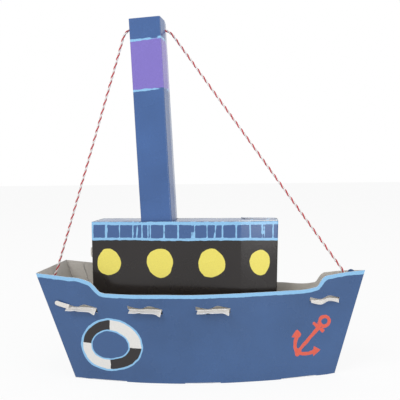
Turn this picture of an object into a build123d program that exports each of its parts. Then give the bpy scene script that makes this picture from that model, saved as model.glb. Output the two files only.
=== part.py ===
from build123d import *
import math
import os

# A toy steamboat folded from printed card: hull, deck insert, deckhouse, square funnel and a twine stay.
# Millimetres. X runs from stern to bow, +Y is the starboard side seen from behind, Z is up from the table.
# The origin is under the middle of the boat's box.

CARD = 0.5                      # thickness of every card
FIT = 0.3                       # gap where one card passes through or beside another

# Hull: outline at the rim and at the bottom, both as (share of the length, half beam)
HULL_TOP = 78.4                 # height of the stern corners above the table
HULL_LENGTH = 240.0             # stern corner to bow tip, at the rim
STERN_RAKE = 27.4               # the foot of the transom stands this far forward of its top
BOW_RAKE = 22.0                 # the foot of the bow edge stands this far aft of its tip
RIM_BEAM = [(0.0, 29.4), (0.15, 30.5), (0.3, 30.9), (0.5, 29.0), (0.62, 23.0), (0.73, 16.0), (0.86, 8.2), (0.94, 4.0), (1.0, 0.0)]
KEEL_BEAM = [(0.0, 26.4), (0.16, 29.8), (0.33, 30.8), (0.49, 28.6), (0.66, 22.2), (0.79, 15.4), (0.91, 6.9), (1.0, 0.0)]

# Sheer line (x from the stern corner, height): high quarter, step down, long waist, step up, high bow
QUARTER = [(0.0, 78.4), (11.4, 77.3), (23.0, 76.1), (35.6, 74.7)]
QUARTER_STEP = [(35.6, 74.7), (42.7, 72.0), (45.6, 69.0), (49.8, 64.9), (57.0, 64.3)]
WAIST = [(57.0, 64.3), (100.0, 64.1), (150.0, 64.3), (180.0, 64.8), (204.6, 66.6)]
BOW_STEP = [(204.6, 66.6), (208.4, 72.2), (210.8, 74.3), (214.5, 75.0)]
FOREDECK = [(214.5, 75.0), (226.0, 76.7), (240.0, 77.8)]

# Slots: (start, length) along X; every slot is the same wave, given as (share of the length, height)
SLOTS = [(22.5, 24.0), (69.8, 24.9), (118.6, 24.2), (199.3, 21.8)]
WAVE_LOW = [(0.0, 0.4), (0.18, -1.7), (0.36, -3.0), (0.6, -0.8), (0.78, -0.9), (1.0, -3.1)]
WAVE_HIGH = [(0.0, 2.9), (0.2, 1.5), (0.4, 0.9), (0.62, 2.8), (0.8, 1.9), (1.0, 0.6)]
TONGUE_SPAN = (0.14, 0.97)      # the part of a slot's length that its tongue fills
TONGUE_OUT = 5.0                # how far a tongue stands out of the hull

# Deck insert: height of its lower face along X, a shallow sheer
DECK_LINE = [(6.0, 53.5), (34.0, 53.1), (82.0, 52.8), (130.0, 52.9), (165.0, 53.9), (210.0, 56.8), (226.0, 57.6)]

# Deckhouse: plan corners on the port side, mirrored to starboard
HOUSE_STERN = 38.6
HOUSE_SHOULDER = 150.0          # where the slanting fore panels begin
HOUSE_BOW = (175.6, 177.2)      # bow face at the deck and at the roof
HOUSE_HALF = 15.0               # half width of the straight part
HOUSE_NOSE = 9.8                # half width of the bow face
HOUSE_TOP = 114.9
LOCK_TAB = (12.0, 7.4, 88.0)    # y, height and foot of the small tab that sticks out of the stern face

# Funnel: a square tube that leans aft and goes down through the roof to the deck
FUNNEL_ROOF_X = 87.5            # its middle at the height of the roof
FUNNEL_RAKE = 2.46
FUNNEL_WIDE = 23.4
FUNNEL_DEEP = 24.0
FUNNEL_TOP = 264.2

# Twine stay
TWINE = 1.8
HOLE = 3.2                      # punched holes
EDGE_TURN = 2.0                 # radius of the twine where it turns over the edge of a hole
KNOT = 1.9                      # radius of a stopper knot
KNOT_GAP = 0.6                  # from a card to the flat of its knot
STERN_HOLE = (-4.0, 70.9)       # y and height of the hole in the transom
AFT_HOLE = (-7.0, 259.6)        # y and height of the hole in the funnel's stern face
FORE_HOLE = (3.0, 259.9)        # and in its bow face
BOW_HOLE = (225.6, 73.4)        # x and height of the hole in the strip across the bow
LEAD = 2.0                      # from a hole in the hull to the twine's turn
FUNNEL_LEAD = 2.8               # and from a hole in the funnel


def beam(table, share):
    """Half beam at a share of the length, straight between the table's points."""
    for (a, b0), (c, b1) in zip(table, table[1:]):
        if share <= c:
            return b0 + (b1 - b0) * (share - a) / (c - a)
    return table[-1][1]


def hull_at(share, height):
    """X and half beam of the hull's outside at a share of its length and a height."""
    up = height / HULL_TOP
    foot = STERN_RAKE + share * (HULL_LENGTH - STERN_RAKE - BOW_RAKE)
    wide = beam(KEEL_BEAM, share) * (1 - up) + beam(RIM_BEAM, share) * up
    return foot * (1 - up) + share * HULL_LENGTH * up, wide


MIDDLE = hull_at(1, FOREDECK[-1][1])[0] / 2


def half_beam(x, height):
    """Half beam of the hull's outside at a place along X."""
    low, high = hull_at(0, height)[0], hull_at(1, height)[0]
    return hull_at((x - low) / (high - low), height)[1]


def outline(table, stern, bow, height, side_in=0.0, end_in=0.0):
    """Closed plan outline at one height, moved in by side_in along the sides and end_in at the stern."""
    port = [Vector(stern + s * (bow - stern), -b, height) for s, b in table]
    nose_angle = math.atan2(-port[-2].Y, port[-1].X - port[-2].X)
    inner = []
    for k, p in enumerate(port[:-1]):
        ahead, behind = port[k + 1], port[max(k - 1, 0)]
        along = (ahead - behind).normalized()
        inner.append(p + Vector(-along.Y, along.X, 0) * side_in)
    inner[0] = Vector(stern + end_in, inner[0].Y, height)
    inner.append(Vector(bow - side_in / math.sin(nose_angle), 0, height))
    mirror = [Vector(p.X, -p.Y, p.Z) for p in reversed(inner)]
    return Wire([Spline(*inner), Spline(*mirror), Line(mirror[-1], inner[0])])


def hull_block(side_in=0.0, end_in=0.0):
    """Solid between the outline on the table and the outline at the top of the stern."""
    foot = outline(KEEL_BEAM, STERN_RAKE, HULL_LENGTH - BOW_RAKE, 0, side_in, end_in)
    head = outline(RIM_BEAM, 0, HULL_LENGTH, HULL_TOP, side_in, end_in)
    return Solid.make_loft([foot, head], ruled=True)


def upright(points):
    """Points of the XZ plane as vectors."""
    return [Vector(x, 0, z) for x, z in points]


def prism(edges, half=60.0):
    """Solid with the closed XZ outline of edges, half each way along Y."""
    return extrude(Face(Wire(edges)), half, dir=(0, 1, 0), both=True)


def plate(points, half=60.0):
    """Solid with straight XZ sides through points, half each way along Y."""
    return extrude(Face(Wire.make_polygon(upright(points))), half, dir=(0, 1, 0), both=True)


def above_sheer():
    """What lies above the rim: cut away from both sides at once."""
    aft, fore = -10.0, HULL_LENGTH + 10
    return prism([
        Line((aft, 0, QUARTER[0][1]), (0, 0, QUARTER[0][1])),
        Spline(*upright(QUARTER)), Spline(*upright(QUARTER_STEP)), Spline(*upright(WAIST)),
        Spline(*upright(BOW_STEP)), Spline(*upright(FOREDECK)),
        Line((HULL_LENGTH, 0, FOREDECK[-1][1]), (fore, 0, FOREDECK[-1][1])),
        Line((fore, 0, FOREDECK[-1][1]), (fore, 0, 100)), Line((fore, 0, 100), (aft, 0, 100)),
        Line((aft, 0, 100), (aft, 0, QUARTER[0][1])),
    ])


def deck_height(x):
    """Height of the deck's lower face, straight between its points."""
    for (a, z0), (c, z1) in zip(DECK_LINE, DECK_LINE[1:]):
        if x <= c:
            return z0 + (z1 - z0) * (x - a) / (c - a)
    return DECK_LINE[-1][1]


def slot(start, length):
    """One wave-shaped slot, cut through both sides of the hull."""
    low, high = (
        upright([(start + s * length, deck_height(start + s * length) + CARD / 2 + z) for s, z in wave])
        for wave in (WAVE_LOW, WAVE_HIGH)
    )
    return prism([Spline(*low), Line(low[-1], high[-1]), Spline(*reversed(high)), Line(high[0], low[0])])


def rod(start, end, radius):
    """Round bar between two points."""
    way = Vector(*end) - Vector(*start)
    return Pos(*start) * Plane((0, 0, 0), z_dir=way).location * Cylinder(
        radius, way.length, align=(Align.CENTER, Align.CENTER, Align.MIN)
    )


def glue_laps():
    """The transom's two laps, glued flat inside the sides."""
    laps = hull_block(CARD, CARD) - hull_block(2 * CARD, CARD)
    return laps & plate([(-1, 76.2), (13, 75), (33, 8), (21, 8)])


def bow_strip():
    """Narrow strip of card across the bow, with the hole that the twine goes through."""
    strip = Pos(BOW_HOLE[0], 0, BOW_HOLE[1]) * Box(7.0, 30, CARD, align=(Align.CENTER, Align.CENTER, Align.MAX))
    return (strip & hull_block(CARD / 2, CARD)) - rod((BOW_HOLE[0], 0, 60), (BOW_HOLE[0], 0, 80), HOLE / 2)


def bow_ear():
    """Round end of the bow's glue lap, standing just above the rim against the starboard side."""
    ear_x, ear_foot, ear_radius = 230.2, 75.6, 2.5
    y = half_beam(ear_x, ear_foot) - CARD
    return Pos(ear_x, y - 0.45, ear_foot) * Rot(0, 0, -12.5) * Rot(90, 0, 0) * Cylinder(ear_radius, CARD)


def make_hull():
    """Both sides, transom and bottom, folded from one card."""
    room = hull_block(CARD, CARD) & Pos(MIDDLE, 0, CARD) * Box(300, 100, 100, align=(Align.CENTER, Align.CENTER, Align.MIN))
    hull = hull_block() - room + glue_laps() + bow_strip()
    hull = hull - above_sheer() + bow_ear()
    for start, length in SLOTS:
        hull -= slot(start, length)
    y, z = STERN_HOLE
    face = transom_point(y, z)
    return hull - rod(face - transom_out() * 4, face + transom_out() * 4, HOLE / 2)


def transom_out():
    """Direction straight out of the transom."""
    return Vector(-HULL_TOP, 0, -STERN_RAKE).normalized()


def transom_point(y, z):
    """Point on the outside of the transom."""
    return Vector(STERN_RAKE * (1 - z / HULL_TOP), y, z)


def make_deck():
    """Deck insert: follows the inside of the hull, with four tongues a side that go out through the slots."""
    under, over = upright(DECK_LINE), upright([(x, z + CARD) for x, z in DECK_LINE])
    sheet = prism([Spline(*under), Line(under[-1], over[-1]), Spline(*reversed(over)), Line(over[0], under[0])])
    deck = sheet & hull_block(CARD + FIT, CARD + FIT + 1.0)
    deck -= glue_room()
    for start, length in SLOTS:
        first, last = (start + share * length for share in TONGUE_SPAN)
        reach = half_beam((first + last) / 2, deck_height(start)) + TONGUE_OUT
        plank = Pos((first + last) / 2, 0, 50) * Box(last - first, 2 * reach, 40)
        core = Pos((first + last) / 2, 0, 50) * Box(last - first, 2 * reach - 2 * TONGUE_OUT - 8, 40)
        deck += sheet & (plank - core)
    return deck


def glue_room():
    """Room beside the transom's laps, so that the deck clears them."""
    lap = plate([(0, 40), (0, 70), (26, 70), (26, 40)])
    return lap - hull_block(2 * CARD + FIT, 0)


def house_block(inset, top):
    """Deckhouse as a block, drawn in by inset, up to a height."""
    faces = []
    for z, bow in ((45.0, HOUSE_BOW[0]), (HOUSE_TOP, HOUSE_BOW[1])):
        nose = HOUSE_NOSE - inset * 0.9
        port = [(HOUSE_STERN + inset, HOUSE_HALF - inset), (HOUSE_SHOULDER, HOUSE_HALF - inset), (bow - inset, nose)]
        ring = [(x, -y) for x, y in port] + [(x, y) for x, y in reversed(port)]
        faces.append(Wire.make_polygon([Vector(x, y, z) for x, y in ring]))
    return Solid.make_loft(faces, ruled=True) & Pos(MIDDLE, 0, top) * Box(
        300, 100, 100, align=(Align.CENTER, Align.CENTER, Align.MAX)
    )


def under_deck():
    """Everything below the top of the deck."""
    over = upright([(x, z + CARD) for x, z in DECK_LINE])
    first, last = over[0], over[-1]
    return prism([
        Spline(*over), Line(last, (last.X, 0, 0)), Line((last.X, 0, 0), (first.X, 0, 0)), Line((first.X, 0, 0), first),
    ])


def make_house():
    """Deckhouse: walls and roof folded from one card, open below, with a square hole for the funnel."""
    house = house_block(0, HOUSE_TOP) - house_block(CARD, HOUSE_TOP - CARD)
    y, tall, foot = LOCK_TAB
    house += Pos(HOUSE_STERN + CARD, -y, foot) * Box(2.4, 1.2, tall, align=(Align.MAX, Align.CENTER, Align.MIN))
    return house - under_deck() - funnel_block(2 * FIT)


def funnel_frame():
    """Where the funnel's axis meets the roof, leaning aft."""
    return Pos(FUNNEL_ROOF_X, 0, HOUSE_TOP) * Rot(0, -FUNNEL_RAKE, 0)


def funnel_block(extra=0.0):
    """Funnel as a solid block, extra wider all over."""
    rise = (FUNNEL_TOP - HOUSE_TOP) / math.cos(math.radians(FUNNEL_RAKE))
    drop = 70.0
    return funnel_frame() * Pos(0, 0, rise) * Box(
        FUNNEL_WIDE + extra, FUNNEL_DEEP + extra, rise + drop, align=(Align.CENTER, Align.CENTER, Align.MAX)
    )


def funnel_holes():
    """Middles of the holes in the funnel's stern and bow faces."""
    lean = math.radians(FUNNEL_RAKE)
    holes = []
    for (y, z), side in ((AFT_HOLE, -1), (FORE_HOLE, 1)):
        x = FUNNEL_ROOF_X - (z - HOUSE_TOP) * math.tan(lean) + side * FUNNEL_WIDE / 2 / math.cos(lean)
        holes.append(Vector(x, y, z))
    return holes


def make_funnel():
    """Square tube, open at both ends, standing on the deck, with two holes for the twine."""
    aft, fore = funnel_holes()
    beyond = (fore - aft).normalized() * 5
    return funnel_block() - funnel_block(-2 * CARD) - under_deck() - rod(aft - beyond, fore + beyond, HOLE / 2)


def twine_points():
    """Corners of the twine's route, from the face of the stern knot to the face of the bow knot."""
    face, out = transom_point(*STERN_HOLE), transom_out()
    aft, fore = funnel_holes()
    across = (fore - aft).normalized() * FUNNEL_LEAD
    return [
        face + out * KNOT_GAP,
        face - out * LEAD,
        aft - across,
        fore + across,
        Vector(BOW_HOLE[0], 0, BOW_HOLE[1] + LEAD),
        Vector(BOW_HOLE[0], 0, BOW_HOLE[1] - CARD - KNOT_GAP),
    ]


def make_twine():
    """One length of twine, pulled tight from the transom over the funnel to the bow."""
    points = twine_points()
    path = FilletPolyline(*points, radius=EDGE_TURN)
    start = Plane(points[0], z_dir=points[1] - points[0])
    length = path.length
    tube = sweep(start * Circle(TWINE / 2), path=path)
    print("twine length", round(length, 1), "volume", round(tube.volume, 1),
          "section x length", round(math.pi * TWINE ** 2 / 4 * length, 1))
    print("twine radius", TWINE / 2, "knot radius", KNOT, "hole radius", HOLE / 2,
          "turn radius at edges", EDGE_TURN)
    for p in points:
        print("   route point", round(p.X - MIDDLE, 2), round(p.Y, 2), round(p.Z, 2))
    return tube


def make_knot(end, before):
    """Stopper knot: a ball with a flat where the twine's end meets it."""
    way = (end - before).normalized()
    ball = Pos(0, 0, KNOT * 0.8) * Sphere(KNOT) & Box(9, 9, 9, align=(Align.CENTER, Align.CENTER, Align.MIN))
    return Plane(end + way * 0.02, z_dir=way).location * ball


def save(name, shape):
    """Centres a piece on the boat's frame and writes its STEP."""
    shape = Pos(-MIDDLE, 0, 0) * shape
    shape.label = name
    export_step(shape, f"parts/{name}.step")


os.makedirs("parts", exist_ok=True)
route = twine_points()
save("hull", make_hull())
save("deck", make_deck())
save("deckhouse", make_house())
save("funnel", make_funnel())
save("twine", make_twine())
save("knot_stern", make_knot(route[0], route[1]))
save("knot_bow", make_knot(route[-1], route[-2]))
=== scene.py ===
"""A toy steamboat folded from printed card, with a twisted twine stay, built as sheets on numpy grids."""

import logging
import math
from dataclasses import dataclass
from enum import Enum
from typing import Optional, Sequence

import bpy
import numpy as np
from mathutils import Matrix, Vector


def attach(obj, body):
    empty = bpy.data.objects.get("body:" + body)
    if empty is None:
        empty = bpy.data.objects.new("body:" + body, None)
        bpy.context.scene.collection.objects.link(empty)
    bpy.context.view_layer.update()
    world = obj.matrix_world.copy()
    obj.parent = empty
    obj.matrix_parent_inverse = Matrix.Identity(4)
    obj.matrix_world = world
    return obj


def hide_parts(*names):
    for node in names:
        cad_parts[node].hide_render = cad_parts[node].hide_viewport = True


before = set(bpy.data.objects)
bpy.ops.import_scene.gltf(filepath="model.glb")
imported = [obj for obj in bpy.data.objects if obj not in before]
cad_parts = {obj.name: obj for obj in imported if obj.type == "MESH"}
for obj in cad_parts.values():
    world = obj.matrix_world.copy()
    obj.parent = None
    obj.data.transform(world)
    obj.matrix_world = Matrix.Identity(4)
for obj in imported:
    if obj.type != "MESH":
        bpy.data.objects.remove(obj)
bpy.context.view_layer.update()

Array = np.ndarray
Spot = tuple[float, float]
Points = Sequence[Spot]
LOG = logging.getLogger("steamboat")
MM = 0.001
BODY = "root"
CARD = 0.5  # thickness of the card, in millimetres, as are all sizes below
MIDDLE = 119.915  # the frame's origin, forward of the stern's top corners
FAR = 99.0  # mark of a sheet that an ink doesn't reach, as its distance from the ink
WHOLE = -9.0  # mark of a sheet that an ink covers
SHARP = math.radians(38)  # turn between two faces from which their edge stays sharp
PUNCH_SIDES = 32
STRAND_SIDES = 10


class Side(Enum):
    """A side of the boat, as the sign of its Y."""

    PORT = -1.0
    STARBOARD = 1.0


class Face(Enum):
    """Material slots of a sheet of card, in the order of its mesh."""

    PRINT = 0
    INSIDE = 1
    CUT = 2


def curve_through(points: Points, at: Array) -> Array:
    """Smooth curve through points: cubic pieces whose slope at a point is the mean of the slopes beside it.

    Args:
        points: Pairs of place and value, in order of place.
        at: The places wanted.

    Returns:
        The value at each place.
    """
    x, y = np.array(points, float).T
    slope = np.gradient(y, x)
    k = np.clip(np.searchsorted(x, at) - 1, 0, len(x) - 2)
    wide = x[k + 1] - x[k]
    t = np.clip((at - x[k]) / wide, 0, 1)
    return (
        (2 * t**3 - 3 * t**2 + 1) * y[k] + (t**3 - 2 * t**2 + t) * wide * slope[k]
        + (3 * t**2 - 2 * t**3) * y[k + 1] + (t**3 - t**2) * wide * slope[k + 1]
    )


def steps(marks: Sequence[float], pitch: float) -> Array:
    """Places about pitch apart that include every mark."""
    spans = [(a, b, max(2, math.ceil((b - a) / pitch) + 1)) for a, b in zip(marks, marks[1:])]
    return np.concatenate([*(np.linspace(a, b, count)[:-1] for a, b, count in spans), [marks[-1]]])


def segment_gap(x: Array, z: Array, a: Spot, b: Spot) -> Array:
    """Distance of each point of the plane from the straight line between a and b."""
    dx, dz = b[0] - a[0], b[1] - a[1]
    t = np.clip(((x - a[0]) * dx + (z - a[1]) * dz) / (dx * dx + dz * dz), 0, 1)
    return np.hypot(x - a[0] - t * dx, z - a[1] - t * dz)


def chain_gap(x: Array, z: Array, points: Points) -> Array:
    """Distance of each point of the plane from a chain of straight lines."""
    return np.minimum.reduce([segment_gap(x, z, a, b) for a, b in zip(points, points[1:])])


def oval_gap(x: Array, z: Array, centre: Spot, half: Spot, egg: float) -> Array:
    """Distance from a hand-drawn oval, below nought inside: the radius less the oval's own radius that way.

    Args:
        x: Places along the sheet.
        z: Heights on the sheet.
        centre: Middle of the oval.
        half: Half its width and half its height.
        egg: How much the oval swells and shrinks three times round, as a share of its radius.

    Returns:
        The distance at each place.
    """
    dx, dz = x - centre[0], z - centre[1]
    radius, angle = np.hypot(dx, dz), np.arctan2(dz, dx)
    own = 1 / np.hypot(np.cos(angle) / half[0], np.sin(angle) / half[1])
    return radius - own * (1 + egg * np.cos(3 * angle + 0.9) + 0.4 * egg * np.cos(2 * angle - 0.6))


def averaged(columns: Array) -> Array:
    """Columns of a grid, each replaced by the mean of itself, twice, and its neighbours, ends kept."""
    out = columns.copy()
    out[:, 1:-1] = (columns[:, :-2] + 2 * columns[:, 1:-1] + columns[:, 2:]) / 4
    return out


@dataclass(frozen=True)
class Ink:
    """One printed colour: it covers the sheet where the attribute of its name is below nought."""

    name: str
    colour: tuple[float, float, float]


def linear(red: float, green: float, blue: float) -> tuple[float, float, float, float]:
    """Screen colour from 0 to 255 as the linear colour that a shader takes."""
    rgb = [c / 255 for c in (red, green, blue)]
    return tuple(c / 12.92 if c <= 0.04045 else ((c + 0.055) / 1.055) ** 2.4 for c in rgb) + (1.0,)


class Nodes:
    """Short way to add shader nodes and join them."""

    def __init__(self, name: str) -> None:
        """Starts an empty material with a Principled shader."""
        self.material = bpy.data.materials.new(name)
        self.material.use_nodes = True
        self.tree = self.material.node_tree
        self.shader = self.tree.nodes["Principled BSDF"]

    def add(self, kind: str, **inputs: object) -> bpy.types.Node:
        """Adds a node, then sets or links the inputs named."""
        node = self.tree.nodes.new("ShaderNode" + kind)
        for name, value in inputs.items():
            self.put(node, name, value)
        return node

    def put(self, node: bpy.types.Node, name: object, value: object) -> None:
        """Sets an input to a value, or links it to an output."""
        socket = node.inputs[name.replace("_", " ") if isinstance(name, str) else name]
        if isinstance(value, bpy.types.NodeSocket):
            self.tree.links.new(value, socket)
        else:
            socket.default_value = value

    def math(self, operation: str, a: object, b: object = 0.0, clamp: bool = False) -> bpy.types.NodeSocket:
        """One sum on numbers or outputs."""
        node = self.tree.nodes.new("ShaderNodeMath")
        node.operation, node.use_clamp = operation, clamp
        self.put(node, 0, a)
        self.put(node, 1, b)
        return node.outputs[0]

    def noise(self, scale: float, detail: float = 3.0, rough: float = 0.55) -> bpy.types.NodeSocket:
        """Noise on Object coordinates, from 0 to 1; scale is in waves a metre."""
        place = self.tree.nodes.new("ShaderNodeTexCoord").outputs["Object"]
        node = self.add("TexNoise", Vector=place, Scale=scale, Detail=detail, Roughness=rough)
        return node.outputs["Fac"]

    def attribute(self, name: str) -> bpy.types.NodeSocket:
        """A point attribute of the piece."""
        node = self.tree.nodes.new("ShaderNodeAttribute")
        node.attribute_name = name
        return node.outputs["Fac"]

    def mixed(self, share: object, a: object, b: object) -> bpy.types.NodeSocket:
        """Colour that goes from a to b as share goes from 0 to 1."""
        node = self.tree.nodes.new("ShaderNodeMix")
        node.data_type = "RGBA"
        self.put(node, 0, share)
        self.put(node, 6, a)
        self.put(node, 7, b)
        return node.outputs[2]

    def graded(self, value: object, old: Spot, new: Spot) -> bpy.types.NodeSocket:
        """Value carried from the range old to the range new."""
        ends = {"From_Min": old[0], "From_Max": old[1], "To_Min": new[0], "To_Max": new[1]}
        node = self.add("MapRange", Value=value, **ends)
        return node.outputs[0]

    def bumped(self, height: object, strength: float, distance: float) -> None:
        """Gives the shader a bump from a height."""
        bump = self.add("Bump", Height=height, Strength=strength, Distance=distance)
        self.put(self.shader, "Normal", bump.outputs[0])


@dataclass(frozen=True)
class CoatedPrint:
    """Printed face of the card: ink colours with soft blotches under a thin gloss coat."""

    name: str
    base: tuple[float, float, float]
    inks: tuple[Ink, ...] = ()
    edge: float = 0.12  # width over which an ink's edge fades, in millimetres
    gloss: float = 0.24

    def build(self) -> bpy.types.Material:
        """Returns the material."""
        n = Nodes(self.name)
        cloud = n.noise(18.0)
        base = linear(*self.base)
        colour = n.mixed(n.graded(cloud, (0.3, 0.7), (0.0, 1.0)), tuple(c * 0.88 for c in base[:3]) + (1,),
                         tuple(min(1, c * 1.12) for c in base[:3]) + (1,))
        wobble = n.graded(n.noise(220.0, 1.0), (0.3, 0.7), (-0.22, 0.22))
        for ink in self.inks:
            far = n.math("ADD", n.attribute(ink.name), wobble)
            cover = n.math("ADD", n.math("MULTIPLY", far, -1 / self.edge), 0.5, clamp=True)
            colour = n.mixed(cover, colour, linear(*ink.colour))
        speckle = n.graded(n.noise(2600.0, 2.0), (0.35, 0.65), (0.94, 1.05))
        tinted = n.add("Mix")
        tinted.data_type, tinted.blend_type = "RGBA", "MULTIPLY"
        n.put(tinted, 0, 1.0)
        n.put(tinted, 6, colour)
        n.put(tinted, 7, speckle)
        n.put(n.shader, "Base Color", tinted.outputs[2])
        smear = n.graded(n.noise(55.0, 4.0), (0.3, 0.7), (self.gloss - 0.05, self.gloss + 0.09))
        n.put(n.shader, "Roughness", smear)
        n.shader.inputs["Specular IOR Level"].default_value = 0.32
        n.shader.inputs["Coat Weight"].default_value = 0.2
        n.shader.inputs["Coat Roughness"].default_value = 0.12
        wave = n.math("MULTIPLY", n.noise(28.0, 1.0), 6.0)
        n.bumped(n.math("ADD", wave, n.math("MULTIPLY", n.noise(900.0, 2.0), 0.25)), 0.25, 0.0004)
        return n.material


@dataclass(frozen=True)
class RawCard:
    """Unprinted card: matt grey-white with grey fibres."""

    name: str
    base: tuple[float, float, float]
    fibre: float = 1.0

    def build(self) -> bpy.types.Material:
        """Returns the material."""
        n = Nodes(self.name)
        base = linear(*self.base)
        dark = tuple(c * 0.8 for c in base[:3]) + (1,)
        blotch = n.graded(n.noise(45.0, 5.0), (0.3, 0.72), (0.0, 0.55))
        fibre = n.graded(n.noise(1900.0, 4.0, 0.7), (0.42, 0.75), (0.0, 0.7 * self.fibre))
        n.put(n.shader, "Base Color", n.mixed(n.math("ADD", blotch, fibre, clamp=True), base, dark))
        n.put(n.shader, "Roughness", n.graded(n.noise(300.0), (0.3, 0.7), (0.62, 0.85)))
        n.bumped(n.noise(1400.0, 4.0), 0.5, 0.0001)
        return n.material


@dataclass(frozen=True)
class Yarn:
    """Cotton yarn of one colour: soft, with fine fibres and a slight sheen."""

    name: str
    base: tuple[float, float, float]

    def build(self) -> bpy.types.Material:
        """Returns the material."""
        n = Nodes(self.name)
        base = linear(*self.base)
        fibre = n.graded(n.noise(3200.0, 3.0), (0.3, 0.7), (0.0, 1.0))
        n.put(n.shader, "Base Color", n.mixed(fibre, tuple(c * 0.72 for c in base[:3]) + (1,), base))
        n.shader.inputs["Roughness"].default_value = 0.9
        n.shader.inputs["Sheen Weight"].default_value = 0.25
        n.bumped(fibre, 0.7, 0.0003)
        return n.material


LIGHT_BLUE = (134, 184, 222)
CHARCOAL = (34, 30, 29)
HULL_INKS = (
    Ink("ring_rim", LIGHT_BLUE), Ink("ring_band", (216, 214, 210)), Ink("ring_dark", (40, 37, 38)),
    Ink("ring_core", LIGHT_BLUE), Ink("ring_hole", (58, 88, 132)), Ink("anchor", (214, 92, 74)),
    Ink("sheer_stripe", LIGHT_BLUE),
)
HOUSE_INKS = (
    Ink("band", (62, 92, 140)), Ink("rail", LIGHT_BLUE), Ink("port", (224, 211, 98)),
)
FUNNEL_INKS = (Ink("violet", (122, 108, 186)), Ink("ring_line", LIGHT_BLUE))


@dataclass
class Sheet:
    """A sheet of card on a grid: rows run up the sheet and columns along it."""

    name: str
    place: Array  # rows, columns, 3
    marks: dict[str, Array]
    open_cells: Optional[Array] = None
    flip: bool = False
    thick: float = CARD

    def build(self, finishes: Sequence[bpy.types.Material], node: str, slot: str) -> bpy.types.Object:
        """Makes the sheet's mesh, thickens it inwards and puts it on the boat.

        Args:
            finishes: Materials of the printed face, the inside and the cut edge.
            node: The CAD node that it stands for.
            slot: Not used.

        Returns:
            The finished piece.
        """
        rows, columns, _ = self.place.shape
        number = np.arange(rows * columns).reshape(rows, columns)
        quads = np.stack([number[:-1, :-1], number[:-1, 1:], number[1:, 1:], number[1:, :-1]], -1)
        if self.flip:
            quads = quads[..., ::-1]
        kept = quads.reshape(-1, 4) if self.open_cells is None else quads[~self.open_cells]
        shift = np.array([-MIDDLE, 0, 0])
        mesh = bpy.data.meshes.new(self.name)
        mesh.from_pydata(((self.place.reshape(-1, 3) + shift) * MM).tolist(), [], kept.tolist())
        for name, values in self.marks.items():
            mark = mesh.attributes.new(name, "FLOAT", "POINT")
            mark.data.foreach_set("value", values.ravel().astype(np.float32))
        for finish in finishes:
            mesh.materials.append(finish)
        piece = bpy.data.objects.new(self.name, mesh)
        bpy.context.collection.objects.link(piece)
        wall = piece.modifiers.new("thickness", "SOLIDIFY")
        wall.thickness, wall.offset, wall.use_even_offset = self.thick * MM, -1.0, True
        wall.material_offset, wall.material_offset_rim = Face.INSIDE.value, Face.CUT.value
        settle(piece)
        seat(piece, node)
        LOG.info("%s: %d faces", self.name, len(piece.data.polygons))
        return piece


def settle(piece: bpy.types.Object) -> None:
    """Applies a piece's modifiers, then shades it smooth with sharp cut edges."""
    bpy.context.view_layer.update()
    whole = bpy.data.meshes.new_from_object(piece.evaluated_get(bpy.context.evaluated_depsgraph_get()))
    old = piece.data
    piece.modifiers.clear()
    piece.data = whole
    bpy.data.meshes.remove(old)
    whole.shade_smooth()
    whole.set_sharp_from_angle(angle=SHARP)


def seat(piece: bpy.types.Object, node: str) -> None:
    """Puts a piece on the boat's body in place of a CAD node."""
    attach(piece, BODY)
    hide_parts(node)


def punch(piece: bpy.types.Object, centre: Vector, way: Vector, radius: float, deep: float) -> None:
    """Punches a round hole through a finished sheet.

    Args:
        piece: The sheet.
        centre: Middle of the hole, in metres.
        way: Direction of the hole.
        radius: Its radius, in metres.
        deep: Length of the punch, in metres.
    """
    ring = np.linspace(0, 2 * math.pi, PUNCH_SIDES + 1)[:-1]
    x, y = radius * np.cos(ring), radius * np.sin(ring)
    ends = [np.stack([x, y, np.full(PUNCH_SIDES, z)], 1) for z in (-deep / 2, deep / 2)]
    k = np.arange(PUNCH_SIDES)
    after = (k + 1) % PUNCH_SIDES
    walls = np.stack([k, after, after + PUNCH_SIDES, k + PUNCH_SIDES], 1).tolist()
    mesh = bpy.data.meshes.new("punch")
    caps = [k[::-1].tolist(), (k + PUNCH_SIDES).tolist()]
    mesh.from_pydata(np.concatenate(ends).tolist(), [], [*walls, *caps])
    mesh.materials.append(piece.data.materials[Face.CUT.value])
    tool = bpy.data.objects.new("punch", mesh)
    tool.matrix_world = Matrix.Translation(centre) @ way.to_track_quat("Z", "Y").to_matrix().to_4x4()
    bpy.context.collection.objects.link(tool)
    cut = piece.modifiers.new("hole", "BOOLEAN")
    cut.operation, cut.solver, cut.object, cut.material_mode = "DIFFERENCE", "EXACT", tool, "TRANSFER"
    settle(piece)
    bpy.data.objects.remove(tool)
    bpy.data.meshes.remove(mesh)


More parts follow.
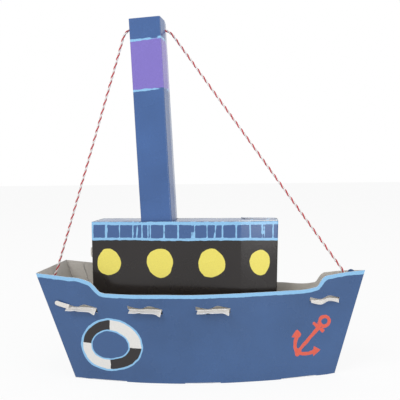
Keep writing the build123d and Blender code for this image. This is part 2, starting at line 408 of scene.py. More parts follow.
@dataclass
class Hull:
    """Hull card: two sides and a raked transom in one wrap, a bottom, laps and a strip at the bow."""

    top: float = 78.4
    length: float = 240.0
    stern_rake: float = 27.4
    bow_rake: float = 22.0
    rim_beam: Points = ((0.0, 29.4), (0.15, 30.5), (0.3, 30.9), (0.5, 29.0), (0.62, 23.0), (0.73, 16.0),
                        (0.86, 8.2), (0.94, 4.0), (1.0, 0.35))
    keel_beam: Points = ((0.0, 26.4), (0.16, 29.8), (0.33, 30.8), (0.49, 28.6), (0.66, 22.2), (0.79, 15.4),
                         (0.91, 6.9), (1.0, 0.35))
    sheer: Points = ((-8.0, 79.2), (0.0, 78.4), (11.4, 77.3), (23.0, 76.1), (35.2, 74.8), (39.0, 73.6),
                     (42.7, 71.9), (45.8, 68.8), (48.4, 65.9), (51.5, 64.7), (57.0, 64.3), (100.0, 64.1),
                     (150.0, 64.3), (180.0, 64.8), (203.0, 66.4), (205.4, 67.2), (207.0, 69.9), (208.6, 72.4),
                     (210.8, 74.2), (214.5, 75.0), (226.0, 76.7), (240.0, 77.8), (246.0, 78.2))
    deck_line: Points = ((6.0, 53.5), (34.0, 53.1), (82.0, 52.8), (130.0, 52.9), (165.0, 53.9),
                         (210.0, 56.8), (226.0, 57.6))
    slots: Points = ((22.5, 24.0), (69.8, 24.9), (118.6, 24.2), (199.3, 21.8))
    wave_low: Points = ((0.0, 0.4), (0.18, -1.7), (0.36, -3.0), (0.6, -0.8), (0.78, -0.9), (1.0, -3.1))
    wave_high: Points = ((0.0, 2.9), (0.2, 1.5), (0.4, 0.9), (0.62, 2.8), (0.8, 1.9), (1.0, 0.6))
    hole: float = 1.6
    stern_hole: Spot = (-4.0, 70.9)
    bow_hole: Spot = (225.6, 73.4)
    strip_half: float = 3.4
    ear_middle: Spot = (230.2, 75.6)
    ear_radius: float = 2.5
    rows: tuple[int, int, int] = (40, 3, 12)  # of the sides' grid: below, across and above the slots

    def at(self, share: Array, height: Array) -> tuple[Array, Array]:
        """X and half beam outside, at shares of the length and at heights, straight from bottom to rim."""
        up = height / self.top
        foot = self.stern_rake + share * (self.length - self.stern_rake - self.bow_rake)
        wide = curve_through(self.keel_beam, share) * (1 - up) + curve_through(self.rim_beam, share) * up
        return foot * (1 - up) + share * self.length * up, wide

    def share_of(self, x: Array, height: Array) -> Array:
        """Share of the length at a place along X and a height."""
        low, high = self.at(np.zeros(1), height)[0], self.at(np.ones(1), height)[0]
        return (x - low) / (high - low)

    def rim(self, share: Array) -> Array:
        """Height of the rim at shares of the length, found by halving until the sheer line is met."""
        low, high = np.full(share.shape, 60.0), np.full(share.shape, 80.0)
        for _ in range(40):
            middle = (low + high) / 2
            under = middle < curve_through(self.sheer, self.at(share, middle)[0])
            low, high = np.where(under, middle, low), np.where(under, high, middle)
        return (low + high) / 2

    def deck_height(self, x: Array) -> Array:
        """Height of the middle of the deck card at places along X."""
        return curve_through(self.deck_line, x) + CARD / 2

    def slot_shares(self) -> list[tuple[float, float]]:
        """First and last share of the length of each slot."""
        spans = []
        for start, length in self.slots:
            ends = np.array([start, start + length])
            spans.append(tuple(self.share_of(ends, self.deck_height(ends))))
        return spans

    def slot_edges(self, share: Array) -> tuple[Array, Array]:
        """Heights of the slots' lower and upper edges along the hull, carried level between the slots."""
        place, low, high = [], [], []
        for (first, last), (start, length) in zip(self.slot_shares(), self.slots):
            t = np.linspace(0, 1, 21)
            level = self.deck_height(start + t * length)
            place.append(first + t * (last - first))
            low.append(level + curve_through(self.wave_low, t))
            high.append(level + curve_through(self.wave_high, t))
        place, low, high = (np.concatenate(v) for v in (place, low, high))
        return np.interp(share, place, low), np.interp(share, place, high)

    def prints(self, x: Array, z: Array) -> dict[str, Array]:
        """Signed distances of the hull's printed shapes: lifebuoy, anchor and the stripe under the rim."""
        line = np.arange(-6, 244, 0.8)
        stripe = chain_gap(x, z, list(zip(line[::3], curve_through(self.sheer, line[::3]))))
        around = np.arctan2(z - 26.4, x - 55.6)
        dark = np.maximum(
            np.minimum(np.abs(around - math.radians(133)) - math.radians(44),
                       np.abs(around + math.radians(47)) - math.radians(43)) * 18.0,
            oval_gap(x, z, (56.6, 26.7), (21.9, 18.2), 0.02),
        )
        ring = np.abs(np.hypot(x - 210.2, z - 41.0) - 3.6) - 1.25
        shank = chain_gap(x, z, ((207.6, 38.4), (190.6, 19.4))) - 1.3
        stock = chain_gap(x, z, ((202.4, 39.8), (208.8, 33.9))) - 1.25
        arms = chain_gap(x, z, ((190.2, 31.2), (188.8, 27.4), (188.6, 23.2), (190.2, 19.2), (194.0, 17.7),
                                (198.2, 17.4), (202.4, 18.6))) - 1.35
        crown = chain_gap(x, z, ((191.6, 20.4), (190.4, 17.6))) - 1.8
        flukes = np.minimum(self.fluke(x, z, (189.9, 36.6), (186.0, 30.2), (194.0, 31.4)),
                            self.fluke(x, z, (207.4, 19.6), (202.2, 23.2), (202.0, 15.2)))
        return {
            "ring_rim": oval_gap(x, z, (56.4, 26.7), (23.3, 19.6), 0.02),
            "ring_band": oval_gap(x, z, (56.6, 26.7), (21.9, 18.2), 0.02),
            "ring_dark": dark,
            "ring_core": oval_gap(x, z, (55.5, 26.7), (14.6, 11.2), 0.03),
            "ring_hole": oval_gap(x, z, (55.5, 26.7), (13.6, 10.2), 0.03),
            "anchor": np.minimum.reduce([ring, shank, stock, arms, crown, flukes]),
            "sheer_stripe": stripe - 2.7,
        }

    @staticmethod
    def fluke(x: Array, z: Array, *corners: tuple[float, float]) -> Array:
        """Signed distance from a triangle: the furthest of its three half planes."""
        middle = np.mean(corners, axis=0)
        planes = []
        for a, b in zip(corners, (*corners[1:], corners[0])):
            normal = np.array([b[1] - a[1], a[0] - b[0]]) / math.dist(a, b)
            side = (x - a[0]) * normal[0] + (z - a[1]) * normal[1]
            planes.append(-side if (middle - a) @ normal > 0 else side)
        return np.maximum.reduce(planes)

    def wrap(self) -> Sheet:
        """Sides and transom as one sheet, from the starboard bow round the stern to the port bow."""
        ends = sorted(e for span in self.slot_shares() for e in span)
        share = steps([0.0, 0.003, 0.02, *ends, 1.0], 0.0048)
        low, high = self.slot_edges(share)
        rim = self.rim(share)
        below, within, above = self.rows
        bands = [(np.zeros_like(low), low, below), (low, high, within), (high, rim, above)]
        rows = [a + (b - a) * np.linspace(0, 1, k + 1)[:-1, None] for a, b, k in bands]
        height = np.concatenate([*rows, rim[None]])
        x, wide = self.at(share[None], height)
        ripple = 0.16 * np.sin(x / 11 + height / 17) + 0.10 * np.sin(x / 5.3 - height / 9)
        wide = wide + ripple * np.clip(share * 12, 0, 1) * np.clip((1 - share) * 12, 0, 1)
        across = steps([-1.0, -0.97, 0.97, 1.0], 0.06)[1:-1]
        stern_x, stern_y = x[:, :1] + 0 * across, wide[:, :1] * -across
        px = np.concatenate([x[:, ::-1], stern_x, x], 1)
        py = np.concatenate([wide[:, ::-1], stern_y, -wide], 1)
        pz = np.concatenate([height[:, ::-1], np.repeat(height[:, :1], len(across), 1), height], 1)
        fade = np.concatenate([np.zeros(len(share)), np.full(len(across), 60.0), np.zeros(len(share))])
        marks = {k: v + fade for k, v in self.prints(px, pz).items()}
        marks["sheer_stripe"] = np.where(fade > 0, FAR, marks["sheer_stripe"])
        place = np.stack([px, py, pz], -1)
        corner = slice(len(share) - 4, len(share) + len(across) + 4)
        place[:, corner] = averaged(place[:, corner])
        cell_row = np.arange(len(height) - 1)[:, None]
        middle = (share[1:] + share[:-1]) / 2
        inside = np.any([(middle > a) & (middle < b) for a, b in self.slot_shares()], 0)
        gap = np.concatenate([inside[::-1], np.zeros(len(across) + 1, bool), inside])
        holes = (cell_row >= below) & (cell_row < below + within) & gap[None]
        return Sheet("hull_wrap", place, marks, holes)

    def bottom(self) -> Sheet:
        """Flat bottom between the sides."""
        share = np.linspace(0.001, 0.999, 90)
        x, wide = self.at(share[None], np.full((1, 90), CARD))
        t = np.linspace(-1, 1, 25)[:, None]
        place = np.stack([x + 0 * t, wide * t, 0 * x + 0 * t], -1)
        blank = {k.name: np.full(place.shape[:2], FAR) for k in HULL_INKS}
        return Sheet("hull_bottom", place, blank, flip=True)

    def lap(self, side: Side) -> Sheet:
        """Glue lap of the transom, flat against the inside of a side."""
        height = np.linspace(9, 75.2, 30)[:, None]
        reach = np.linspace(0, 1, 10)[None]
        first = self.share_of(self.at(np.zeros(1), height)[0] + 0.8, height)
        share = first + reach * (0.055 + 0.0 * height)
        x, wide = self.at(share, height + 0 * share)
        place = np.stack([x, side.value * (wide - CARD - 0.35), height + 0 * share], -1)
        blank = {k.name: np.full(place.shape[:2], FAR) for k in HULL_INKS}
        return Sheet(f"transom_lap_{side.name.lower()}", place, blank, flip=side is Side.STARBOARD)

    def build(self, card: Sequence[bpy.types.Material]) -> None:
        """Makes every sheet of the hull."""
        _, inside, cut = card
        wrap = self.wrap().build(card, "hull", "hull_card")
        y, z = self.stern_hole
        centre = Vector((self.stern_rake * (1 - z / self.top) - MIDDLE, y, z)) * MM
        punch(wrap, centre, Vector((-self.top, 0, -self.stern_rake)), self.hole * MM, 8 * MM)
        self.bottom().build(card, "hull", "hull_card")
        for side in Side:
            self.lap(side).build((inside, inside, cut), "hull", "hull_card")
        self.strip().build((inside, inside, cut), "hull", "hull_card")
        self.ear().build(card, "hull", "hull_card")

    def strip(self) -> Sheet:
        """Strip of card across the bow, with a round gap for the twine."""
        x, z = self.bow_hole
        along = x + np.linspace(-self.strip_half, self.strip_half, 15)[None]
        wide = self.at(self.share_of(along, np.full_like(along, z)), np.full_like(along, z))[1]
        t = np.linspace(-1, 1, 15)[:, None]
        y = (wide - 0.3) * t
        cell_x = (along[:, 1:] + along[:, :-1]) / 2 - x + 0 * y[1:, 1:]
        cell_y = (y[1:, 1:] + y[:-1, :-1]) / 2
        open_cells = np.hypot(cell_x, cell_y) < self.hole - 0.3
        return Sheet("bow_strip", np.stack([along + 0 * y, y, z + 0 * y], -1), {}, open_cells)

    def ear(self) -> Sheet:
        """Round end of the bow's lap, just above the rim on the starboard side."""
        angle = np.linspace(0, 2 * math.pi, 33)[None]
        radius = np.linspace(0.02, self.ear_radius, 7)[:, None]
        x, z = self.ear_middle[0] + radius * np.cos(angle), self.ear_middle[1] + radius * np.sin(angle)
        wide = self.at(self.share_of(x, z), z)[1]
        blank = {k.name: np.full(x.shape, FAR) for k in HULL_INKS}
        return Sheet("bow_lap_end", np.stack([x, wide - 1.2, z], -1), blank, flip=True)


@dataclass
class Deck:
    """Unprinted insert with wavy tongues that come out through the hull's slots."""

    hull: Hull
    clear: float = 0.85  # between the insert's edge and the outside of the hull
    tongue_out: float = 4.6
    fore_out: float = 0.55  # how far out the foremost tongue comes, as a share of the others

    def insert(self) -> Sheet:
        """The sheet inside the hull."""
        share = np.linspace(0.012, 0.93, 120)[None]
        t = np.linspace(-1, 1, 31)[:, None]
        guess = self.hull.at(share, np.full_like(share, 54.0))[0]
        level = self.hull.deck_height(guess)
        x, wide = self.hull.at(share, level)
        place = np.stack([x + 1.2 + 0 * t, (wide - self.clear) * t, level + CARD / 2 + 0 * t], -1)
        return Sheet("deck_insert", place, {})

    def tongue(self, number: int, side: Side) -> Sheet:
        """One tongue: level inside the hull, its free end a little lower and turned down at the fore end."""
        start, length = self.hull.slots[number]
        along = np.linspace(0.05, 0.975, 41)[None]
        out = np.linspace(-4.0, self.tongue_out, 16)[:, None]
        x = start + along * length
        free = np.clip(out / self.tongue_out, 0, 1)
        low = curve_through(self.hull.wave_low, along)
        high = curve_through(self.hull.wave_high, along)
        lift = self.shape(number, along, free, low, high)
        near = np.clip((out + 3) / 3, 0, 1)
        z = self.hull.deck_height(x) + CARD / 2 + lift * near
        wide = self.hull.at(self.hull.share_of(x, z), z)[1]
        foremost = number == len(self.hull.slots) - 1
        reach = np.where((out > 0) & foremost, self.fore_out, 1.0)
        place = np.stack([x + 0 * out, side.value * (wide + out * reach), z], -1)
        return Sheet(f"deck_tongue_{number + 1}_{side.name.lower()}", place, {}, flip=side is Side.PORT)

    @staticmethod
    def shape(number: int, along: Array, free: Array, low: Array, high: Array) -> Array:
        """Height of a tongue above the deck's level.

        Args:
            number: Which slot, from the stern.
            along: Share of the slot's length.
            free: 0 inside the hull, 1 at the tongue's free end.
            low: The slot's lower edge, from the deck's level.
            high: The slot's upper edge.

        Returns:
            The rise at each point.
        """
        centre = (low + high) / 2
        if number == 3:
            return centre * (0.8 + 0.2 * free) - 1.6 * free
        droop = -2.4 * free**1.5 * np.exp(-(((along - 0.99) / 0.12) ** 2))
        bump = 0.5 * np.exp(-(((along - 0.36) / 0.08) ** 2))
        return 0.35 * centre * (1 - free) - 0.75 + droop + bump - 0.5 * free

    def loose_end(self, side: Side) -> Sheet:
        """Rounded end of the aftmost tongue, which has slipped aft over the outside of the hull."""
        along = np.linspace(0, 1, 25)[None]
        across = np.linspace(-1, 1, 9)[:, None]
        half = 1.55 * np.sqrt(np.clip(1 - np.clip((along - 0.82) / 0.18, 0, 1) ** 2, 0.002, 1))
        x = 25.2 - 10.6 * along + 0.34 * half * across
        z = 54.1 + 3.2 * along + half * across
        wide = self.hull.at(self.hull.share_of(x, z), z)[1]
        off = 0.75 + 0.7 * np.sin(along * math.pi * 0.8)
        place = np.stack([x, side.value * (wide + off), z], -1)
        return Sheet(f"deck_loose_end_{side.name.lower()}", place, {}, flip=side is Side.PORT)

    def build(self, face: bpy.types.Material, cut: bpy.types.Material) -> None:
        """Makes the insert and its tongues."""
        card = (face, face, cut)
        self.insert().build(card, "deck", "plain_card")
        for number in range(len(self.hull.slots)):
            for side in Side:
                self.tongue(number, side).build(card, "deck", "plain_card")
        for side in Side:
            self.loose_end(side).build(card, "deck", "plain_card")


@dataclass
class Deckhouse:
    """Deckhouse card: a wrap of walls with slanting fore panels, and a roof with a square hole."""

    stern: float = 38.6
    shoulder: float = 150.0
    bow: Spot = (175.6, 177.2)
    half: float = 15.0
    nose: float = 9.8
    foot: float = 53.4
    top: float = 114.9
    fold: float = 0.55  # half the width of a rounded fold
    ports: tuple[tuple[float, float, float, float], ...] = (
        (51.5, 84.6, 8.9, 10.1), (90.4, 84.3, 9.9, 10.8), (128.7, 84.3, 9.7, 10.7), (164.4, 85.0, 7.6, 9.2))
    roof_inset: float = 0.12
    flap_deep: float = 9.5
    tab_y: float = -12.2
    tab_foot: float = 88.0
    tab_tall: float = 7.4
    tab_out: float = 2.2
    strokes: tuple[tuple[float, float, float], ...] = (
        (39.4, 0.0, 0.6), (49.9, 0.02, 0.95), (60.0, 0.0, 0.55), (70.4, 0.03, 0.6), (73.6, 0.1, 0.5),
        (77.2, 0.0, 0.6),
        (81.8, 0.02, 0.45), (83.6, 0.02, 0.5), (93.9, 0.0, 0.55), (104.4, 0.0, 0.5), (114.5, 0.01, 0.45),
        (116.4, 0.01, 0.5), (125.8, 0.0, 0.55), (131.7, 0.12, 0.5), (137.0, 0.0, 0.55), (147.0, 0.0, 0.55),
        (157.2, -0.02, 0.6), (165.8, 0.0, 0.5), (167.5, 0.0, 0.5), (173.9, 0.0, 0.55))

    @property
    def slant(self) -> float:
        """Length of a fore panel at the top."""
        return math.hypot(self.bow[1] - self.shoulder, self.half - self.nose)

    def outline(self, place: Array, height: Array) -> tuple[Array, Array]:
        """Plan of the port half at developed places: stern face, wall, fore panel, then half the bow face.

        Args:
            place: Length along the card from the middle of the stern face, counted so that it is the stern's
                X at the stern corner.
            height: Heights.

        Returns:
            X and the distance from the middle plane.
        """
        up = (height - self.foot) / (self.top - self.foot)
        bow = self.bow[0] + (self.bow[1] - self.bow[0]) * up
        panel_end = self.shoulder + self.slant
        corners = [self.stern - self.half, self.stern, self.shoulder, panel_end, panel_end + self.nose]
        beside = [0.0, self.half, self.half, self.nose, 0.0]
        t = np.clip((place - self.shoulder) / self.slant, 0, 1)
        x = np.clip(place, self.stern, self.shoulder) + (bow - self.shoulder) * t
        return x, np.interp(place, corners, beside) + 0 * up

    def walls(self) -> Sheet:
        """All the walls as one sheet, with rounded folds: each place is the mean over the fold's width."""
        start, panel_end = self.stern - self.half, self.shoulder + self.slant
        end = panel_end + self.nose
        near_folds = [c + side for c in (self.stern, self.shoulder, panel_end) for side in (-1, 1)]
        place = steps([start, *near_folds, end], 0.9)
        height = steps([self.foot, 100.0, self.top], 0.9)[:, None]
        folds = np.linspace(-self.fold, self.fold, 9)
        ranges = [self.outline(np.clip(place + d, start, end)[None], height) for d in folds]
        x, y = (np.mean([r[k] for r in ranges], 0) for k in (0, 1))
        bulge = 0.25 * np.sin(place / 23.0)[None] * np.sin((height - self.foot) / 19.0)
        inner = np.clip((y - 2) / 8, 0, 1)
        y = y + bulge * inner
        px = np.concatenate([x, x[:, -2::-1]], 1)
        py = np.concatenate([-y, y[:, -2::-1]], 1)
        along = np.concatenate([place, place[-2::-1]])[None] + 0 * px
        pz = height + 0 * px
        return Sheet("deckhouse_walls", np.stack([px, py, pz], -1), self.prints(along, pz))

    def prints(self, u: Array, z: Array) -> dict[str, Array]:
        """Signed distances of the printed rail band, its strokes and the portholes."""
        upper = np.abs(z - 113.6 + 0.15 * np.sin(u / 9)) - 1.15
        lower = np.abs(z - 101.9 + 0.25 * np.sin(u / 13)) - 0.95
        rail = [upper, lower]
        for place, slant, half in self.strokes:
            rail.append(np.maximum(np.abs(u - place - slant * (z - 108)) - half, np.abs(z - 108.2) - 6.9))
        ports = [oval_gap(u, z, port[:2], port[2:], 0.035 * (-1) ** k) for k, port in enumerate(self.ports)]
        return {"band": 101.6 - z, "rail": np.minimum.reduce(rail), "port": np.minimum.reduce(ports)}

    def roof(self, hole: tuple[float, float, float]) -> Sheet:
        """Roof with a square hole for the funnel: hole is its first X, last X and half width."""
        x = steps([self.stern + 0.1, self.stern + 2, hole[0], hole[1], self.shoulder, self.bow[1] - 2,
                   self.bow[1] - 0.1], 1.6)[None]
        wide = np.interp(x, [self.stern, self.shoulder, self.bow[1]], [self.half, self.half, self.nose])
        wide = wide - self.roof_inset
        hole_half = hole[2] / (self.half - self.roof_inset)
        t = steps([-1.0, -hole_half, hole_half, 1.0], 0.06)[:, None]
        y = wide * t
        edge = np.minimum.reduce([wide - np.abs(y), x - self.stern + 0 * y, self.bow[1] - x + 0 * y])
        z = self.top + 0.02 - 0.5 * np.exp(-edge / 0.5)
        middle_x, middle_t = (x[:, 1:] + x[:, :-1]) / 2, (t[1:] + t[:-1]) / 2
        gap = (middle_x > hole[0]) & (middle_x < hole[1]) & (np.abs(middle_t) < hole_half)
        strokes = [np.abs(x - p - (wide - np.abs(y)) * 0.25) - h + 0 * y for p, _, h in self.strokes]
        rail = np.minimum(edge - 0.7, np.maximum(np.minimum.reduce(strokes), edge - 2.4))
        marks = {"band": np.full(y.shape, WHOLE), "rail": rail, "port": np.full(y.shape, FAR)}
        return Sheet("deckhouse_roof", np.stack([x + 0 * y, y, z], -1), marks, gap)

    def flap(self, side: Side) -> Sheet:
        """Corner flap of a fore panel, folded onto the roof."""
        along = np.linspace(0, 1, 30)[None]
        across = np.linspace(0, 1, 10)[:, None]
        x = self.shoulder - 1 + along * (self.bow[1] - self.shoulder)
        rim = self.half - 0.4 - along * (self.half - self.nose)
        deep = self.flap_deep * np.clip(along * 7, 0, 1) * np.clip((1 - along) * 12, 0, 1)
        y = rim - across * deep
        z = self.top + 0.62 + 0.5 * across * np.sin(along * math.pi) + 0 * y
        strokes = np.minimum(np.abs(x - 156.6 - across * 2.2) - 0.6, np.abs(x - 168.0 - across * 3.0) - 0.7)
        rail = np.minimum(strokes, (rim - np.abs(y)) - 0.8)
        marks = {"band": np.full(y.shape, WHOLE), "rail": rail + 0 * y, "port": np.full(y.shape, FAR)}
        return Sheet(f"roof_flap_{side.name.lower()}", np.stack([x + 0 * y, side.value * y, z], -1), marks,
                     flip=side is Side.STARBOARD)

    def lock_tab(self) -> Sheet:
        """Small tab that sticks out of the stern face near its port edge."""
        out = np.linspace(0, self.tab_out, 6)[None]
        up = np.linspace(0, 1, 12)[:, None]
        z = self.tab_foot + self.tab_tall * up + 0 * out
        x = self.stern + 0.3 - out * (1 - 0.25 * np.abs(2 * up - 1) ** 3)
        marks = {ink.name: np.full(z.shape, FAR) for ink in HOUSE_INKS}
        return Sheet("deckhouse_lock_tab", np.stack([x, self.tab_y + 0 * z, z], -1), marks)

    def build(self, hole: tuple[float, float, float], card: Sequence[bpy.types.Material]) -> None:
        """Makes the walls, the roof and its small flaps."""
        self.walls().build(card, "deckhouse", "house_card")
        self.roof(hole).build(card, "deckhouse", "house_card")
        for side in Side:
            self.flap(side).build(card, "deckhouse", "house_card")
        self.lock_tab().build(card, "deckhouse", "house_card")


@dataclass
class Funnel:
    """Square tube that leans aft, folded with rounded corners and one glued seam."""

    roof_x: float = 87.5
    roof_z: float = 114.9
    rake: float = 2.46
    wide: float = 23.4
    deep: float = 24.0
    top: float = 264.2
    foot: float = 53.6
    fold: float = 1.0
    hole: float = 1.6
    aft_hole: Spot = (-7.0, 259.6)
    fore_hole: Spot = (3.0, 259.9)
    violet: Spot = (97.3, 133.9)  # ends of the violet band, up the funnel from the roof
    line_half: float = 0.85
    line_slope: float = 0.035

    def axis(self, z: float) -> float:
        """X of the funnel's middle at a height."""
        return self.roof_x - (z - self.roof_z) * math.tan(math.radians(self.rake))

    def holes(self) -> list[Vector]:
        """Middles of the two holes, in millimetres from the stern."""
        lean = math.radians(self.rake)
        return [Vector((self.axis(z) + s * self.wide / 2 / math.cos(lean), y, z))
                for (y, z), s in ((self.aft_hole, -1), (self.fore_hole, 1))]

    def tube(self) -> Sheet:
        """The four faces as one sheet; the bow face has a soft crease down its middle."""
        w, d = self.wide / 2, self.deep / 2
        turn = 2 * (self.wide + self.deep)
        corner = np.cumsum([0, d, self.wide, self.deep, self.wide, d])
        place = steps([corner[0], *[c + e for c in corner[1:5] for e in (-1.4, 1.4)], corner[5]], 0.9)
        folds = place + np.linspace(-self.fold, self.fold, 9)[:, None]
        corners = [-5, *corner, turn + 5]
        across = np.interp(folds, corners, [-w, -w, -w, w, w, -w, -w, -w]).mean(0)
        beside = np.interp(folds, corners, [5, 0, -d, -d, d, d, 0, -5]).mean(0)
        crease = 0.9 * np.clip(1 - np.abs(beside - 0.5) / 11.0, 0, 1) * (across > w - 1.5)
        length = (self.top - self.roof_z) / math.cos(math.radians(self.rake))
        rise = steps([self.foot - self.roof_z, 0.0, length], 1.6)[:, None]
        bend = 0.22 * np.sin(rise / 31.0) * np.sin(place / 9.0)[None]
        u = across + crease
        x = u[None] + bend * np.sign(u)[None] * 0.5
        y = beside[None] + bend * 0.6
        lean = math.radians(self.rake)
        px = self.roof_x + x * math.cos(lean) - rise * math.sin(lean)
        pz = self.roof_z + rise * math.cos(lean) + x * math.sin(lean)
        v = rise + 0 * x
        lower, upper = (end + self.line_slope * u[None] for end in self.violet)
        marks = {"violet": np.maximum(v - upper, lower - v),
                 "ring_line": np.minimum(np.abs(v - upper), np.abs(v - lower)) - self.line_half}
        return Sheet("funnel_tube", np.stack([px, y + 0 * px, pz], -1), marks)

    def build(self, card: Sequence[bpy.types.Material]) -> None:
        """Makes the tube and punches its holes."""
        tube = self.tube().build(card, "funnel", "funnel_card")
        aft, fore = self.holes()
        for centre in (aft, fore):
            punch(tube, (centre - Vector((MIDDLE, 0, 0))) * MM, fore - aft, self.hole * MM, 6 * MM)


@dataclass
class Stay:
    """Baker's twine: a red and a white strand twisted together, pulled tight, with a knot at each end."""

    thick: float = 1.8
    pitch: float = 7.0
    route: tuple[tuple[float, float, float], ...] = (
        (-117.86, -4.0, 70.7), (-115.41, -4.0, 71.56), (-109.4, -4.39, 89.6), (-58.6, -7.73, 242.3),
        (-52.92, -8.1, 259.57), (-24.36, 4.1, 259.93), (-15.3, 3.81, 247.2), (98.6, 0.23, 85.4),
        (105.68, 0.0, 75.4), (105.68, 0.0, 72.3))

    def line(self) -> Array:
        """Points of the smooth line that follows the route, in metres."""
        curve = bpy.data.curves.new("route", "CURVE")
        curve.dimensions = "3D"
        spline = curve.splines.new("NURBS")
        spline.points.add(len(self.route) - 1)
        spline.points.foreach_set("co", np.array([(*p, 1000.0) for p in self.route]).ravel() * MM)
        spline.order_u, spline.use_endpoint_u, spline.resolution_u = 3, True, 24
        bare = bpy.data.objects.new("route", curve)
        mesh = bpy.data.meshes.new_from_object(bare)
        points = np.zeros(len(mesh.vertices) * 3)
        mesh.vertices.foreach_get("co", points)
        bpy.data.meshes.remove(mesh)
        bpy.data.objects.remove(bare)
        bpy.data.curves.remove(curve)
        return points.reshape(-1, 3)

    def strands(self, line: Array, finishes: Sequence[bpy.types.Material], name: str, step: float = 0.45,
                strand: Optional[float] = None, pitch: Optional[float] = None) -> bpy.types.Object:
        """Two twisted strands round a line: each ring is a circle set off from it and turned with length.

        Args:
            line: Points to follow, in metres.
            finishes: Materials of the two strands.
            name: Name of the piece.
            step: Distance between rings, in millimetres.
            strand: Radius of a strand, in millimetres.
            pitch: Length of one turn, in millimetres.

        Returns:
            The piece.
        """
        strand = (strand or self.thick * 0.3) * MM
        pitch = (pitch or self.pitch) * MM
        length = np.concatenate([[0], np.cumsum(np.linalg.norm(np.diff(line, axis=0), axis=1))])
        at = np.linspace(0, length[-1], math.ceil(length[-1] / (step * MM)))
        middle = np.stack([np.interp(at, length, line[:, k]) for k in range(3)], 1)
        along = np.gradient(middle, axis=0)
        along /= np.linalg.norm(along, axis=1)[:, None]
        side = np.cross(along, [0.0, 1.0, 0.02])
        side /= np.linalg.norm(side, axis=1)[:, None]
        other = np.cross(along, side)
        spin = 2 * math.pi * at / pitch
        ring = np.linspace(0, 2 * math.pi, STRAND_SIDES + 1)[:-1]
        places, faces, slots = [], [], []
        for k in range(2):
            turn = spin + k * math.pi
            off = strand * 0.67
            centre = middle + off * (np.cos(turn)[:, None] * side + np.sin(turn)[:, None] * other)
            cos, sin = (wave(ring)[None, :, None] for wave in (np.cos, np.sin))
            round_it = cos * side[:, None] + sin * other[:, None]
            hand = 1 + 0.08 * np.sin(6 * ring[None] + 9 * spin[:, None])
            tube = centre[:, None] + strand * hand[..., None] * round_it
            rows = len(at)
            count = rows * STRAND_SIDES
            grid = np.arange(count).reshape(rows, STRAND_SIDES) + k * count
            nxt = np.roll(grid, -1, 1)
            quad = np.stack([grid[:-1], nxt[:-1], nxt[1:], grid[1:]], -1).reshape(-1, 4)
            places.append(tube.reshape(-1, 3))
            faces += quad[:, ::-1].tolist() + [grid[0].tolist(), grid[-1][::-1].tolist()]
            slots += [k] * (len(quad) + 2)
        mesh = bpy.data.meshes.new(name)
        mesh.from_pydata(np.concatenate(places).tolist(), [], faces)
        for finish in finishes:
            mesh.materials.append(finish)
        mesh.polygons.foreach_set("material_index", slots)
        mesh.shade_smooth()
        piece = bpy.data.objects.new(name, mesh)
        bpy.context.collection.objects.link(piece)
        LOG.info("%s: %d faces", name, len(mesh.polygons))
        return piece

    def knot(self, centre: Array, name: str, finishes: Sequence[bpy.types.Material]) -> bpy.types.Object:
        """Stopper knot: finer twine round a trefoil, (sin t + 2 sin 2t, cos t - 2 cos 2t, -1.6 sin 3t)."""
        t = np.linspace(0, 2 * math.pi * 0.97, 90)
        x, y, z = np.sin(t) + 2 * np.sin(2 * t), np.cos(t) - 2 * np.cos(2 * t), -1.6 * np.sin(3 * t)
        line = centre + np.stack([x, y, z], 1) * 0.42 * MM
        return self.strands(line, finishes, name, step=0.25, strand=0.36, pitch=4.0)

    def build(self, red: bpy.types.Material, white: bpy.types.Material) -> None:
        line = self.line()
        twine = self.strands(line, (red, white), "twine_stay")
        seat(twine, "twine")
        for end, node in ((line[0] + np.array([-1.3, 0, -0.5]) * MM, "knot_stern"),
                          (line[-1] + np.array([0, 0, -1.4]) * MM, "knot_bow")):
            knot = self.knot(end, f"{node}_ply", (red, white))
            seat(knot, node)
        length = float(np.linalg.norm(np.diff(line, axis=0), axis=1).sum())
        LOG.info("twine: %.3f m", length)


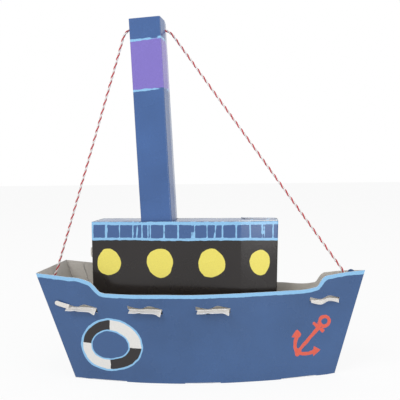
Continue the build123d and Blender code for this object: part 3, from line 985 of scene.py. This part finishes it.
@dataclass
class Studio:
    """Pale floor, soft lamps and the camera."""

    azimuth: float = 7.5
    elevation: float = 3.1
    roll: float = -0.8
    distance: float = 0.3931
    aim: tuple[float, float, float] = (-0.001, 0.0, 0.1299)
    lens: float = 46.8

    def camera(self) -> None:
        """Places the camera round its aim."""
        data = bpy.data.cameras.new("camera")
        data.lens, data.sensor_width = self.lens, 36.0
        data.clip_start, data.clip_end = 0.01, 50.0
        camera = bpy.data.objects.new("camera", data)
        a, e = math.radians(self.azimuth), math.radians(self.elevation)
        back = Vector((math.sin(a) * math.cos(e), -math.cos(a) * math.cos(e), math.sin(e)))
        roll = Matrix.Rotation(math.radians(self.roll), 3, "Z")
        turn = (-back).to_track_quat("-Z", "Y").to_matrix() @ roll
        camera.matrix_world = Matrix.Translation(Vector(self.aim) + back * self.distance) @ turn.to_4x4()
        bpy.context.collection.objects.link(camera)
        bpy.context.scene.camera = camera

    @staticmethod
    def lamp(name: str, place: tuple[float, float, float], power: float, size: float) -> None:
        """Adds a square soft lamp that faces the boat."""
        data = bpy.data.lights.new(name, "AREA")
        data.energy, data.size = power, size
        lamp = bpy.data.objects.new(name, data)
        lamp.location = place
        lamp.rotation_euler = (Vector((0, 0, 0.1)) - Vector(place)).to_track_quat("-Z", "Y").to_euler()
        bpy.context.collection.objects.link(lamp)

    def world(self) -> None:
        """Even pale surround: softer on the boat than it looks to the camera and in reflections."""
        world = bpy.data.worlds.new("surround")
        world.use_nodes = True
        tree = world.node_tree
        back = tree.nodes["Background"]
        path = tree.nodes.new("ShaderNodeLightPath")
        seen = tree.nodes.new("ShaderNodeMath")
        seen.operation = "MAXIMUM"
        tree.links.new(path.outputs["Is Camera Ray"], seen.inputs[0])
        tree.links.new(path.outputs["Is Glossy Ray"], seen.inputs[1])
        through = tree.nodes.new("ShaderNodeMath")
        through.operation = "MAXIMUM"
        tree.links.new(seen.outputs[0], through.inputs[0])
        tree.links.new(path.outputs["Is Transmission Ray"], through.inputs[1])
        level = tree.nodes.new("ShaderNodeMapRange")
        level.inputs["To Min"].default_value = 0.62
        level.inputs["To Max"].default_value = 1.0
        tree.links.new(through.outputs[0], level.inputs["Value"])
        tree.links.new(level.outputs[0], back.inputs["Strength"])
        back.inputs["Color"].default_value = (1.0, 1.0, 1.0, 1.0)
        bpy.context.scene.world = world

    def floor(self) -> None:
        """Wide pale floor."""
        mesh = bpy.data.meshes.new("floor")
        mesh.from_pydata([(-4, -4, 0), (4, -4, 0), (4, 6, 0), (-4, 6, 0)], [], [(0, 1, 2, 3)])
        n = Nodes("floor_paint")
        rays = n.tree.nodes.new("ShaderNodeLightPath").outputs
        shown = n.math("MAXIMUM", n.math("MAXIMUM", rays["Is Camera Ray"], rays["Is Glossy Ray"]),
                       rays["Is Transmission Ray"])
        glow = n.add("Emission", Color=(1.0, 1.0, 1.0, 1.0), Strength=1.0)
        mix = n.add("MixShader", Fac=n.math("MULTIPLY", shown, 0.88))
        n.put(mix, 1, n.shader.outputs[0])
        n.put(mix, 2, glow.outputs[0])
        n.tree.links.new(mix.outputs[0], n.tree.nodes["Material Output"].inputs[0])
        n.shader.inputs["Base Color"].default_value = (0.9, 0.9, 0.9, 1)
        n.shader.inputs["Roughness"].default_value = 0.9
        n.shader.inputs["Specular IOR Level"].default_value = 0.1
        mesh.materials.append(n.material)
        floor = bpy.data.objects.new("floor", mesh)
        bpy.context.collection.objects.link(floor)

    def build(self) -> None:
        """Makes the whole studio."""
        self.camera()
        self.world()
        self.floor()
        self.lamp("key", (-0.7, -0.9, 1.1), 9.0, 0.8)
        self.lamp("fill", (1.0, -0.6, 0.5), 3.5, 0.9)
        self.lamp("sheen", (0.36, -0.78, 0.14), 0.9, 0.24)
        bpy.context.scene.view_settings.view_transform = "Standard"


def main() -> None:
    """Builds the boat, piece by piece, and the studio round it."""
    logging.basicConfig(level=logging.INFO, format="%(name)s %(message)s")
    inside = RawCard("card_inside", (205, 200, 192)).build()
    plain = RawCard("card_plain", (226, 222, 216)).build()
    cut = RawCard("card_cut_edge", (222, 222, 224), 0.4).build()
    hull = Hull()
    hull.build((CoatedPrint("hull_print", (58, 88, 132), HULL_INKS).build(), inside, cut))
    Deck(hull).build(plain, cut)
    funnel = Funnel()
    half = funnel.wide / 2 + 0.8
    hole = (funnel.roof_x - half, funnel.roof_x + half, funnel.deep / 2 + 0.7)
    Deckhouse().build(hole, (CoatedPrint("house_print", CHARCOAL, HOUSE_INKS).build(), inside, cut))
    funnel.build((CoatedPrint("funnel_print", (60, 92, 144), FUNNEL_INKS).build(), inside, cut))
    Stay().build(Yarn("yarn_red", (206, 62, 70)).build(), Yarn("yarn_white", (244, 240, 238)).build())
    Studio().build()


if __name__ == "__main__":
    main()
